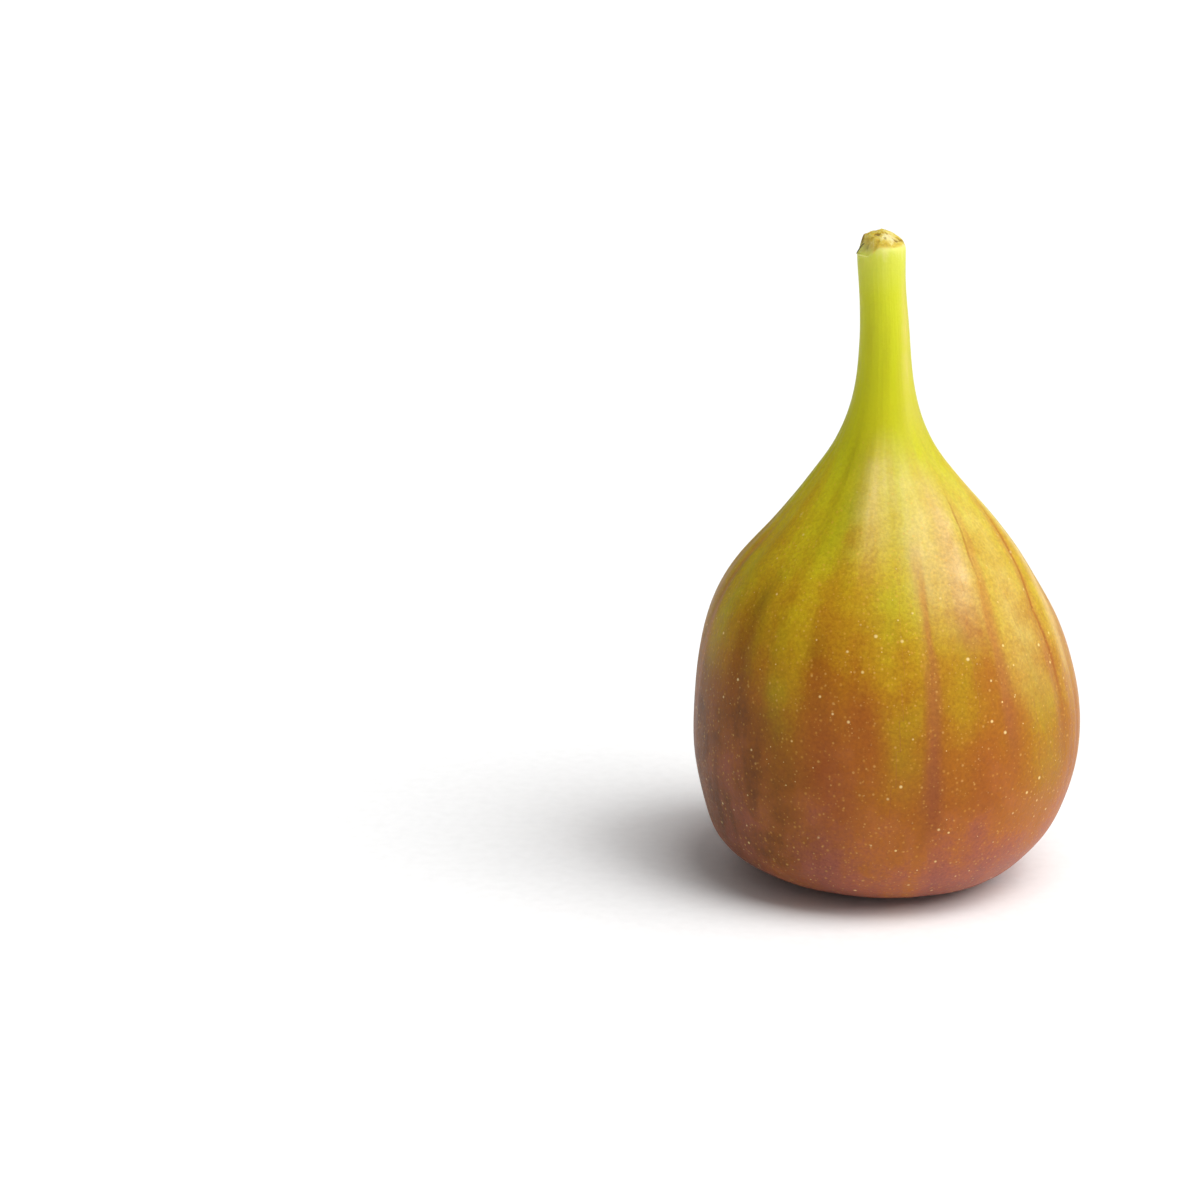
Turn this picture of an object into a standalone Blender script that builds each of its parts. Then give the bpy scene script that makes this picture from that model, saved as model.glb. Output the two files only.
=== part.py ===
"""A fresh fig standing on its base, grown as one solid piece.

The fruit is a turned teardrop: a broad base with its eye sunk in the middle, a full belly, a sloping
shoulder and a slim neck that runs into the cut stem. Each height is then eased a little off the axis,
because no fig grows dead straight, and the fruit is made slightly thinner from front to back.

Metres, +Z up, with +X to the right as seen from the front. The origin lies on the resting plane, in the
middle of the fruit's bounding box.
"""

from math import tau

import bpy
import numpy as np

MM = 0.001

# Driving dimensions, in millimetres
BELLY_DIAMETER = 47.5  # the belly at its widest, from side to side
TOTAL_HEIGHT = 80.5
EYE_RADIUS = 3.6  # the mouth of the small hollow under the fruit
EYE_DEPTH = 1.1
DEPTH_SHARE = 0.95  # front-to-back thickness as a share of the width

# Mesh fineness
STEPS_AROUND = 48
STEPS_PER_SPAN = 3

# Outline from the middle of the stem's cut down to the resting ring, as
# (share of the belly's radius, share of the total height)
CUT_END = ((0.0, 1.0), (0.069, 0.997), (0.111, 0.985), (0.122, 0.965))
STEM = ((0.119, 0.886), (0.149, 0.765))
NECK = ((0.237, 0.681), (0.379, 0.621), (0.553, 0.560))
SHOULDER = ((0.750, 0.488), (0.900, 0.404))
BELLY = ((0.982, 0.307), (0.997, 0.209))
UNDERSIDE = ((0.935, 0.124), (0.848, 0.068), (0.690, 0.026), (0.490, 0.006), (0.364, 0.0))
OUTLINE = CUT_END + STEM + NECK + SHOULDER + BELLY + UNDERSIDE

# The eye's wall from the resting ring inwards, as (share of its radius, share of its depth)
EYE_WALL = ((1.0, 0.0), (0.80, 0.35), (0.45, 0.85), (0.0, 1.0))

# Sideways drift of the fruit's middle, as (share of the total height, millimetres towards +X)
DRIFT = (
    (0.0, 0.7),
    (0.05, -0.6),
    (0.12, -0.1),
    (0.26, 0.2),
    (0.38, -0.35),
    (0.47, -0.8),
    (0.56, -0.3),
    (0.66, -0.8),
    (0.80, -1.0),
    (1.0, -1.4),
)

SKIN_COLOUR = (0.44, 0.28, 0.03, 1.0)
SKIN_ROUGHNESS = 0.5
MERGE_DISTANCE = 0.00001


def clear_scene():
    """Remove whatever the file holds at the start."""
    for item in list(bpy.data.objects):
        bpy.data.objects.remove(item, do_unlink=True)


def smooth_curve(points, steps):
    """Return an array of points on a Catmull-Rom curve through the given ones, with steps to each span."""
    knots = np.array(points, float)
    padded = np.vstack((2 * knots[0] - knots[1], knots, 2 * knots[-1] - knots[-2]))
    curve = []
    for before, start, end, after in zip(padded, padded[1:], padded[2:], padded[3:]):
        for t in np.arange(steps) / steps:
            straight = 2 * start + (end - before) * t
            bend = (2 * before - 5 * start + 4 * end - after) * t**2
            twist = (3 * start - before - 3 * end + after) * t**3
            curve.append((straight + bend + twist) / 2)
    curve.append(knots[-1])
    return np.array(curve)


def fruit_profile():
    """Return the (radius, height) points in metres, from the top of the stem to the middle of the eye."""
    outside = smooth_curve(OUTLINE, STEPS_PER_SPAN) * (BELLY_DIAMETER / 2, TOTAL_HEIGHT)
    eye = np.array(EYE_WALL) * (EYE_RADIUS, EYE_DEPTH)
    return np.vstack((outside, eye)) * MM


def turn(name, profile, collection):
    """Turn a profile round the Z axis into a closed solid and return its object."""
    mesh = bpy.data.meshes.new(name)
    vertices = [(radius, 0.0, height) for radius, height in profile]
    edges = [(i, i + 1) for i in range(len(vertices) - 1)]
    mesh.from_pydata(vertices, edges, [])
    solid = bpy.data.objects.new(name, mesh)
    collection.objects.link(solid)

    screw = solid.modifiers.new("Turn", "SCREW")
    screw.axis = "Z"
    screw.angle = tau
    screw.steps = STEPS_AROUND
    screw.render_steps = STEPS_AROUND
    screw.use_merge_vertices = True
    screw.merge_threshold = MERGE_DISTANCE
    screw.use_smooth_shade = True

    bpy.context.view_layer.objects.active = solid
    solid.select_set(True)
    bpy.ops.object.modifier_apply(modifier=screw.name)
    return solid


def ease_off_axis(solid):
    """Shift each height sideways, thin the fruit from front to back and centre it over the origin."""
    heights, drifts = smooth_curve(DRIFT, STEPS_PER_SPAN).T
    for vertex in solid.data.vertices:
        share = vertex.co.z / (TOTAL_HEIGHT * MM)
        vertex.co.x += np.interp(share, heights, drifts) * MM
        vertex.co.y *= DEPTH_SHARE

    places = np.array([vertex.co for vertex in solid.data.vertices])
    middle = (places.min(axis=0) + places.max(axis=0)) / 2
    for vertex in solid.data.vertices:
        vertex.co.x -= middle[0]
        vertex.co.y -= middle[1]


def fig_skin():
    """Return the fruit's skin: thin, waxy and olive gold."""
    material = bpy.data.materials.new("fig_skin")
    material.use_nodes = True
    shader = material.node_tree.nodes["Principled BSDF"]
    shader.inputs["Base Color"].default_value = SKIN_COLOUR
    shader.inputs["Roughness"].default_value = SKIN_ROUGHNESS
    shader.inputs["Metallic"].default_value = 0.0
    return material


def main():
    """Build the fig."""
    clear_scene()
    collection = bpy.data.collections.new("fresh_fig")
    bpy.context.scene.collection.children.link(collection)
    fig = turn("fig", fruit_profile(), collection)
    ease_off_axis(fig)
    fig.data.materials.append(fig_skin())


main()
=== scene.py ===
"""A whole fresh fig standing on its base, on pale paper under soft studio light.

The fruit is one closed skin, drawn up ring by ring from the eye under its base to the dried end of its
cut stem. Its streaks, ribs and fibres all run along the fruit, from the eye to the stem. The scales of
the eye and the loose fibre at the cut are small pieces that grow out of that skin.
"""

import logging
import math
import random
from dataclasses import dataclass, field
from enum import Enum
from typing import Any, ClassVar, Sequence

import bpy
import numpy as np
from mathutils import Matrix, Vector, noise


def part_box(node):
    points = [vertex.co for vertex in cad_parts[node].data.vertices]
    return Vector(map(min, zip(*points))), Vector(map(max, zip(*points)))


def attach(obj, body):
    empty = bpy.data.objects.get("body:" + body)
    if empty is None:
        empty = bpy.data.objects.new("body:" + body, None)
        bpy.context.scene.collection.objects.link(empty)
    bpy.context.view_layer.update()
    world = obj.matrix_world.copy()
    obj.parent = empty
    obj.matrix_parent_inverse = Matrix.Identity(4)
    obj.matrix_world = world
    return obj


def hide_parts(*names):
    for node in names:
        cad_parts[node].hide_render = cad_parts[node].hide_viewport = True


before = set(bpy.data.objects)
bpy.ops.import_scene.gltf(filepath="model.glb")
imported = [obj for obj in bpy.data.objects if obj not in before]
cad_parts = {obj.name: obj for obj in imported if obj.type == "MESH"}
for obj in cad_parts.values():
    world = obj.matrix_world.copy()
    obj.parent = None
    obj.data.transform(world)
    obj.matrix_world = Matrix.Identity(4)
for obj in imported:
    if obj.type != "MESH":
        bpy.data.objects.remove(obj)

log = logging.getLogger("fresh_fig")

MM = 0.001  # metres in a millimetre
CM = 10.0  # millimetres in a centimetre
SEED = 26
NOISE_SPAN = {"From Min": 0.3, "From Max": 0.7}  # most of a noise's values lie between these
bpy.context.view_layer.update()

Colour = tuple[float, float, float, float]
Tree = bpy.types.NodeTree
Socket = bpy.types.NodeSocket


class Slot(Enum):
    """The record's material slots."""

    SKIN = "fig_skin"
    CUT = "cut_stem"
    EYE = "eye_scales"


class Tone(Enum):
    """What is laid on the skin in strokes, each kept in an attribute of its own."""

    STREAK = "red_streak"
    CREASE = "thin_crease"
    # green bands of the skin, and painted shade on the stem's lit right side
    GREEN = "green_band"
    # brown bands of the skin, and painted shade on the lower left side
    BROWN = "brown_band"
    BLUSH = "red_blush"
    # pale waxy bloom, partly a painted highlight and a painted reflection of the lights
    BLOOM = "pale_bloom"

    @property
    def sharp(self) -> bool:
        """Whether the tone is a line, kept as its distance so that the finish can fray its edge."""
        return self in (Tone.STREAK, Tone.CREASE)


def linear(code: str) -> Colour:
    """Turn an sRGB hex code into a linear colour.

    Args:
        code: six hex digits, with or without a leading #.

    Returns:
        The linear red, green, blue and an alpha of 1.
    """
    shares = [int(code.lstrip("#")[i : i + 2], 16) / 255 for i in (0, 2, 4)]
    channels = [s / 12.92 if s <= 0.04045 else ((s + 0.055) / 1.055) ** 2.4 for s in shares]
    return (channels[0], channels[1], channels[2], 1.0)


def add_node(
    tree: Tree,
    kind: str,
    settings: dict[str | int, Any] | None = None,
    links: dict[str | int, Socket] | None = None,
) -> bpy.types.Node:
    """Add a shader node with its settings and links.

    Args:
        tree: the material's node tree.
        kind: the node's type, without the leading ShaderNode.
        settings: values by property name, or by input name or index; "stops" fills a colour ramp
            from (position, colour) pairs.
        links: the output sockets to join to the node's inputs, by input name or index.

    Returns:
        The new node.
    """
    node = tree.nodes.new(f"ShaderNode{kind}")
    for name, value in (settings or {}).items():
        if name == "stops":
            elements = node.color_ramp.elements
            while len(elements) < len(value):
                elements.new(1.0)
            for element, (position, colour) in zip(elements, value):
                element.position = position
                element.color = colour
        elif isinstance(name, str) and hasattr(node, name):
            setattr(node, name, value)
        else:
            node.inputs[name].default_value = value
    for name, socket in (links or {}).items():
        tree.links.new(socket, node.inputs[name])
    return node


def new_material(name: str, settings: dict[str, Any]) -> tuple[bpy.types.Material, Tree, bpy.types.Node]:
    """Make an empty node material.

    Args:
        name: what the real material is.
        settings: what is the same all over the surface, by the shader's input names.

    Returns:
        The material, its node tree and its Principled shader.
    """
    material = bpy.data.materials.new(name)
    material.use_nodes = True
    shader = material.node_tree.nodes["Principled BSDF"]
    for socket, value in settings.items():
        shader.inputs[socket].default_value = value
    return material, material.node_tree, shader


def smooth_curve(points: Sequence[Sequence[float]], steps: int) -> np.ndarray:
    """Draw a Catmull-Rom curve through some points.

    Args:
        points: the points, in order.
        steps: how many curve points each span gets.

    Returns:
        The curve's points, one row each.
    """
    knots = np.array(points, float)
    padded = np.vstack((2 * knots[0] - knots[1], knots, 2 * knots[-1] - knots[-2]))
    curve = []
    for before, start, end, after in zip(padded, padded[1:], padded[2:], padded[3:]):
        for t in np.arange(steps) / steps:
            straight = 2 * start + (end - before) * t
            bend = (2 * before - 5 * start + 4 * end - after) * t**2
            twist = (3 * start - before - 3 * end + after) * t**3
            curve.append((straight + bend + twist) / 2)
    curve.append(knots[-1])
    return np.array(curve)


def smooth_step(low: float, high: float, value: np.ndarray) -> np.ndarray:
    """Rise smoothly from 0 at low to 1 at high."""
    t = np.clip((value - low) / (high - low), 0.0, 1.0)
    return t * t * (3 - 2 * t)


def hump(off: np.ndarray, width: float | np.ndarray) -> np.ndarray:
    """Return 1 where off is 0, falling smoothly and evenly to either side over the width."""
    return np.exp(-((off / width) ** 2))


def perlin(points: np.ndarray) -> np.ndarray:
    """Return Perlin noise, from about -1 to 1, at each row of points."""
    return np.array([noise.noise(Vector(point)) for point in points])


def write_attribute(mesh: bpy.types.Mesh, name: str, values: np.ndarray) -> None:
    """Keep a number or a vector for each vertex of a mesh.

    Args:
        mesh: the mesh that gets the attribute.
        name: the attribute's name.
        values: one number, or one row of three, for each vertex.
    """
    kind, member = ("FLOAT_VECTOR", "vector") if values.ndim == 2 else ("FLOAT", "value")
    attribute = mesh.attributes.new(name, kind, "POINT")
    attribute.data.foreach_set(member, values.astype(np.float32).ravel())


def start_piece(name: str) -> bpy.types.Object:
    """Name the primitive that was just added and open it for editing, with nothing selected.

    Args:
        name: the piece's name.

    Returns:
        The piece, with its place in its mesh.
    """
    bpy.ops.object.transform_apply(location=True, rotation=True, scale=True)
    piece = bpy.context.active_object
    piece.name = name
    piece.data.name = name
    bpy.ops.object.mode_set(mode="EDIT")
    bpy.ops.mesh.select_all(action="DESELECT")
    return piece


def apply_subdivision(piece: bpy.types.Object, levels: int) -> None:
    """Subdivide a piece smoothly and apply it.

    Args:
        piece: the piece to refine.
        levels: how many times each face is halved both ways.
    """
    refine = piece.modifiers.new("Refine", "SUBSURF")
    refine.levels = levels
    refine.render_levels = levels
    bpy.context.view_layer.objects.active = piece
    bpy.ops.object.modifier_apply(modifier=refine.name)


@dataclass(frozen=True)
class FigSkin:
    """Ripe fig skin: thin and waxy, lime at the stem and red-brown at the base.

    The eye gets bands that run from the eye to the stem, a fine stipple, pale breathing pores, and a
    broad soft gloss that the stipple breaks up.
    """

    name: str = "ripe_fig_skin"
    # Colour by height in millimetres, from the resting plane up
    heights: tuple[tuple[float, str], ...] = (
        (0.0, "945446"),
        (5.0, "A25C46"),
        (9.0, "AA623E"),
        (13.0, "B0682E"),
        (19.0, "A8641A"),
        (26.0, "AA6C12"),
        (34.0, "B48612"),
        (41.0, "BE9E14"),
        (48.0, "C2B016"),
        (55.0, "C2BE1A"),
        (64.0, "C8CA1A"),
        (73.0, "CED22A"),
        (77.0, "D4D850"),
        (79.0, "E2E08C"),
    )
    top_height: float = 80.5  # millimetres, as are the other sizes below
    belly_top: tuple[float, float] = (60.0, 46.0)  # the stipple comes in down between these heights
    low_part: tuple[float, float] = (42.0, 12.0)  # streaks turn from orange to dark red between these
    tongue_reach: float = 8.0  # how far a band carries its colour up or down
    patch_reach: float = 4.8  # how far a soft patch does the same
    grain_reach: float = 1.8  # and the grain
    band_turns: float = 3.6  # noise cells in a radius: about 20 bands round the fruit
    band_drift: float = 0.045  # noise cells in a centimetre along the fruit, for each turn
    thread_turns: float = 13.0  # about 80 fine threads round the fruit
    thread_drift: float = 0.10
    fray: float = 0.9  # how far the threads push a streak's edge about
    crease_fray: float = 0.25  # the share of it that a thin crease gets
    mottle_size: float = 4.6
    grain_size: float = 0.40  # real skin cells are finer; drawn coarser to show
    cell_spacing: float = 0.55
    cell_radius: float = 0.26
    pore_spacing: float = 1.55
    pore_radius: float = 0.30
    speck_spacing: float = 0.8
    speck_radius: float = 0.24
    dotted_part: tuple[float, float] = (54.0, 32.0)  # pores and specks come in down between these
    patches: tuple[float, float] = (0.55, 1.3)  # how strong soft patches leave a soft stroke
    wear: tuple[float, float] = (0.8, 1.12)  # how strong the threads leave any stroke
    speckle: tuple[float, float] = (0.88, 1.11)  # how light the grain leaves the colour
    gloss: tuple[float, float] = (0.38, 0.54)  # roughness from the hollows to the tops of the grain
    dry_roughness: float = 0.7  # of the dried cut end

    def build(self, top: Vector) -> bpy.types.Material:
        """Build the material.

        Args:
            top: the middle of the cut end, in metres.

        Returns:
            The finished material.
        """
        even = {
            "IOR": 1.42,
            "Specular IOR Level": 0.22,
            "Subsurface Weight": 0.5,
            "Subsurface Radius": (1.0, 0.8, 0.25),
            "Subsurface Scale": 3.6 * MM,
            "Sheen Weight": 0.02,
            "Sheen Roughness": 0.35,
        }
        material, tree, shader = new_material(self.name, even)
        place = add_node(tree, "TexCoord").outputs["Object"]
        scale = {"operation": "SCALE", "Scale": 1 / MM}
        in_mm = add_node(tree, "VectorMath", scale, {0: place}).outputs[0]
        height = add_node(tree, "SeparateXYZ", links={0: in_mm}).outputs["Z"]
        run = add_node(tree, "Attribute", {"attribute_name": Fruit.RUN}).outputs["Vector"]
        bands = self.along(tree, run, self.band_turns, self.band_drift)
        threads = self.along(tree, run, self.thread_turns, self.thread_drift)
        mottle = add_node(
            tree,
            "TexNoise",
            {"Scale": 1 / self.mottle_size, "Detail": 4.0, "Roughness": 0.65},
            {"Vector": in_mm},
        ).outputs["Fac"]
        grain = add_node(
            tree,
            "TexNoise",
            {"Scale": 1 / self.grain_size, "Detail": 2.0, "Roughness": 0.6},
            {"Vector": in_mm},
        ).outputs["Fac"]
        none, full = self.belly_top
        limits = {"From Min": none, "From Max": full, "To Min": 0.1}
        belly = add_node(tree, "MapRange", limits, {0: height}).outputs[0]

        colour = self.ground(tree, height, belly, (bands, mottle, grain))
        colour = self.strokes(tree, colour, height, threads, mottle)
        cells = self.dots(tree, in_mm, self.cell_spacing, self.cell_radius)
        colour = self.stipple(tree, colour, grain, cells, belly)
        pores = self.dots(tree, in_mm, self.pore_spacing, self.pore_radius)
        specks = self.dots(tree, in_mm, self.speck_spacing, self.speck_radius)
        colour = self.pale_dots(tree, colour, height, pores, specks)
        colour, dried, crust = DriedCut().lay_over(tree, colour, in_mm, top / MM)
        tree.links.new(colour, shader.inputs["Base Color"])
        self.surface(tree, shader, grain, threads, pores, dried, crust)
        return material

    def along(
        self, tree: Tree, run: Socket, turns: float, drift: float
    ) -> Socket:
        """Noise that is drawn out along the fruit.

        Args:
            tree: the material's node tree.
            run: the direction round the fruit, with the distance along it as the third value.
            turns: noise cells in one radius.
            drift: noise cells in each centimetre along the fruit, for each turn.

        Returns:
            The noise, from 0 to 1.
        """
        scale = (turns, turns, turns * drift)
        scaled = add_node(tree, "VectorMath", {"operation": "MULTIPLY", 1: scale}, {0: run}).outputs[0]
        return add_node(
            tree, "TexNoise", {"Scale": 1.0, "Detail": 2.5, "Roughness": 0.55}, {"Vector": scaled}
        ).outputs["Fac"]

    def ground(
        self,
        tree: Tree,
        height: Socket,
        belly: Socket,
        noises: tuple[Socket, Socket, Socket],
    ) -> Socket:
        """The colour by height, with tongues, patches and grains of it carried up and down.

        Args:
            tree: the material's node tree.
            height: millimetres above the resting plane.
            belly: 1 on the belly, falling to near 0 on the stem.
            noises: the bands, the mottle and the grain.

        Returns:
            The colour.
        """
        wander = None
        reaches = (self.tongue_reach, self.patch_reach, self.grain_reach)
        for noise_value, reach in zip(noises, reaches):
            limits = {"From Min": 0.27, "From Max": 0.73, "To Min": -reach, "To Max": reach}
            part = add_node(tree, "MapRange", limits, {0: noise_value}).outputs[0]
            links = {0: part, 1: wander} if wander else {0: part}
            wander = add_node(tree, "Math", {"operation": "ADD", 1: 0.0}, links).outputs[0]
        moved = add_node(
            tree, "Math", {"operation": "MULTIPLY_ADD"}, {0: wander, 1: belly, 2: height}
        ).outputs[0]
        part_of = {"operation": "DIVIDE", 1: self.top_height}
        share = add_node(tree, "Math", part_of, {0: moved}).outputs[0]
        stops = [(millimetres / self.top_height, linear(code)) for millimetres, code in self.heights]
        return add_node(tree, "ValToRGB", {"stops": stops}, {0: share}).outputs["Color"]

    def strokes(
        self,
        tree: Tree,
        colour: Socket,
        height: Socket,
        threads: Socket,
        mottle: Socket,
    ) -> Socket:
        """Lay the strokes of each tone over the ground colour, frayed by the threads.

        Args:
            tree: the material's node tree.
            colour: the ground colour.
            height: millimetres above the resting plane.
            threads: fine noise drawn out along the fruit.
            mottle: soft patches.

        Returns:
            The colour.
        """
        high, low = self.low_part
        limits = {"From Min": high, "From Max": low}
        low_share = add_node(tree, "MapRange", limits, {0: height}).outputs[0]
        reds = {1: linear("C07A3A"), 2: linear("824030")}
        red = add_node(tree, "MixRGB", reds, {0: low_share}).outputs[0]
        tones = {
            # olive green for green bands and for painted shade on the stem
            Tone.GREEN: linear("A8A010"),
            # dark brown for brown bands and for painted shade on the lower left
            Tone.BROWN: linear("64360C"),
            Tone.BLUSH: linear("96481E"),
            # pale bloom colour, also laid as a painted highlight and a painted reflection
            Tone.BLOOM: linear("F2D49C"),
            Tone.STREAK: red,
            Tone.CREASE: linear("9A4A1C"),
        }
        limits = NOISE_SPAN | {"To Min": self.patches[0], "To Max": self.patches[1]}
        soft = add_node(tree, "MapRange", limits, {0: mottle}).outputs[0]
        limits = NOISE_SPAN | {"To Min": self.wear[0], "To Max": self.wear[1]}
        thready = add_node(tree, "MapRange", limits, {0: threads}).outputs[0]
        for tone, paint in tones.items():
            if tone.sharp:
                amount = self.line(tree, tone, threads)
            else:
                kept = add_node(tree, "Attribute", {"attribute_name": tone.value}).outputs["Fac"]
                amount = add_node(tree, "Math", {"operation": "MULTIPLY"}, {0: kept, 1: soft}).outputs[0]
            worn = add_node(
                tree, "Math", {"operation": "MULTIPLY", "use_clamp": True}, {0: amount, 1: thready}
            ).outputs[0]
            if isinstance(paint, tuple):
                colour = add_node(tree, "MixRGB", {2: paint}, {0: worn, 1: colour}).outputs[0]
            else:
                colour = add_node(tree, "MixRGB", None, {0: worn, 1: colour, 2: paint}).outputs[0]
        return colour

    def line(
        self, tree: Tree, tone: Tone, threads: Socket
    ) -> Socket:
        """How strong a sharp stroke is, from its distance, with its edges pushed about.

        Args:
            tree: the material's node tree.
            tone: the stroke's tone.
            threads: fine noise drawn out along the fruit.

        Returns:
            The strength, from 0 to 1.
        """
        kept = add_node(tree, "Attribute", {"attribute_name": tone.value}).outputs["Vector"]
        split = add_node(tree, "SeparateXYZ", links={0: kept}).outputs
        half = self.fray / 2
        limits = {"From Min": 0.25, "From Max": 0.75, "To Min": -half, "To Max": half}
        push = add_node(tree, "MapRange", limits, {0: threads}).outputs[0]
        if tone is Tone.CREASE:
            less = {"operation": "MULTIPLY", 1: self.crease_fray}
            push = add_node(tree, "Math", less, {0: push}).outputs[0]
        off = add_node(tree, "Math", {"operation": "ADD"}, {0: split[0], 1: push}).outputs[0]
        far = add_node(tree, "Math", {"operation": "ABSOLUTE"}, {0: off}).outputs[0]
        share = add_node(tree, "Math", {"operation": "DIVIDE"}, {0: far, 1: split[1]}).outputs[0]
        limits = {"interpolation_type": "SMOOTHSTEP", "From Min": 1.7, "From Max": 0.1}
        core = add_node(tree, "MapRange", limits, {0: share}).outputs[0]
        return add_node(tree, "Math", {"operation": "MULTIPLY"}, {0: core, 1: split[2]}).outputs[0]

    def stipple(
        self,
        tree: Tree,
        colour: Socket,
        grain: Socket,
        cells: Socket,
        belly: Socket,
    ) -> Socket:
        """Speckle the colour lighter and darker, with a gold dot in each skin cell.

        Args:
            tree: the material's node tree.
            colour: the colour so far.
            grain: fine noise.
            cells: the dots of the skin cells.
            belly: 1 on the belly, falling to near 0 on the stem.

        Returns:
            The colour.
        """
        limits = NOISE_SPAN | {"To Min": self.speckle[0], "To Max": self.speckle[1]}
        speckle = add_node(tree, "MapRange", limits, {0: grain}).outputs[0]
        colour = add_node(
            tree, "MixRGB", {"blend_type": "MULTIPLY"}, {0: belly, 1: colour, 2: speckle}
        ).outputs[0]
        light = add_node(tree, "Math", {"operation": "MULTIPLY"}, {0: cells, 1: belly}).outputs[0]
        light = add_node(tree, "Math", {"operation": "MULTIPLY", 1: 0.32}, {0: light}).outputs[0]
        return add_node(tree, "MixRGB", {2: linear("E0A848")}, {0: light, 1: colour}).outputs[0]

    def dots(
        self, tree: Tree, in_mm: Socket, spacing: float, radius: float
    ) -> Socket:
        """Small round dots of uneven size, scattered over the surface.

        Args:
            tree: the material's node tree.
            in_mm: the place on the fruit in millimetres.
            spacing: the mean distance between cells, in millimetres.
            radius: the largest dot's radius, in millimetres.

        Returns:
            1 in the middle of a dot and 0 outside it.
        """
        cells = add_node(tree, "TexVoronoi", {"Scale": 1 / spacing}, {"Vector": in_mm})
        size = add_node(tree, "SeparateColor", links={0: cells.outputs["Color"]}).outputs[0]
        size = add_node(tree, "Math", {"operation": "POWER", 1: 2.5}, {0: size}).outputs[0]
        limits = {"To Min": 0.3 * radius / spacing, "To Max": radius / spacing}
        reach = add_node(tree, "MapRange", limits, {0: size}).outputs[0]
        share = add_node(
            tree, "Math", {"operation": "DIVIDE"}, {0: cells.outputs["Distance"], 1: reach}
        ).outputs[0]
        limits = {"interpolation_type": "SMOOTHSTEP", "From Min": 1.0, "From Max": 0.3}
        return add_node(tree, "MapRange", limits, {0: share}).outputs[0]

    def pale_dots(
        self,
        tree: Tree,
        colour: Socket,
        height: Socket,
        pores: Socket,
        specks: Socket,
    ) -> Socket:
        """Lay the pale pores and the finer specks over the colour, most of them on the belly.

        Args:
            tree: the material's node tree.
            colour: the colour so far.
            height: millimetres above the resting plane.
            pores: the larger dots.
            specks: the finer dots.

        Returns:
            The colour.
        """
        none, full = self.dotted_part
        belly = add_node(tree, "MapRange", {"From Min": none, "From Max": full}, {0: height}).outputs[0]
        for amount, paint, strength in ((specks, "E4B864", 0.4), (pores, "F4DC96", 0.8)):
            shown = add_node(tree, "Math", {"operation": "MULTIPLY"}, {0: amount, 1: belly}).outputs[0]
            shown = add_node(tree, "Math", {"operation": "MULTIPLY", 1: strength}, {0: shown}).outputs[0]
            colour = add_node(tree, "MixRGB", {2: linear(paint)}, {0: shown, 1: colour}).outputs[0]
        return colour

    def surface(
        self,
        tree: Tree,
        shader: bpy.types.Node,
        grain: Socket,
        threads: Socket,
        pores: Socket,
        dried: Socket,
        crust: Socket,
    ) -> None:
        """Give the skin its wax gloss, its pebbled touch and the glow of wet flesh below it.

        Args:
            tree: the material's node tree.
            shader: the Principled shader.
            grain: fine noise.
            threads: fine noise drawn out along the fruit.
            pores: the larger dots.
            dried: 1 on the dried cut end.
            crust: the dried sap's roughness.
        """
        limits = NOISE_SPAN | {"To Min": self.gloss[0], "To Max": self.gloss[1]}
        gloss = add_node(tree, "MapRange", limits, {0: grain}).outputs[0]
        dull = (self.dry_roughness, self.dry_roughness, self.dry_roughness, 1.0)
        gloss = add_node(tree, "MixRGB", {2: dull}, {0: dried, 1: gloss}).outputs[0]
        tree.links.new(gloss, shader.inputs["Roughness"])
        rough = add_node(tree, "Math", {"operation": "MULTIPLY"}, {0: crust, 1: dried}).outputs[0]
        normal = None
        # Each layer's strength and its depth in millimetres: fibres, pebbles, pores, dried sap
        for height, strength, depth in (
            (threads, 0.35, 0.12),
            (grain, 0.55, 0.07),
            (pores, 0.6, 0.05),
            (rough, 0.7, 0.15),
        ):
            links = {"Height": height, "Normal": normal} if normal else {"Height": height}
            bump = {"Strength": strength, "Distance": depth * MM}
            normal = add_node(tree, "Bump", bump, links).outputs[0]
        tree.links.new(normal, shader.inputs["Normal"])


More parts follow.
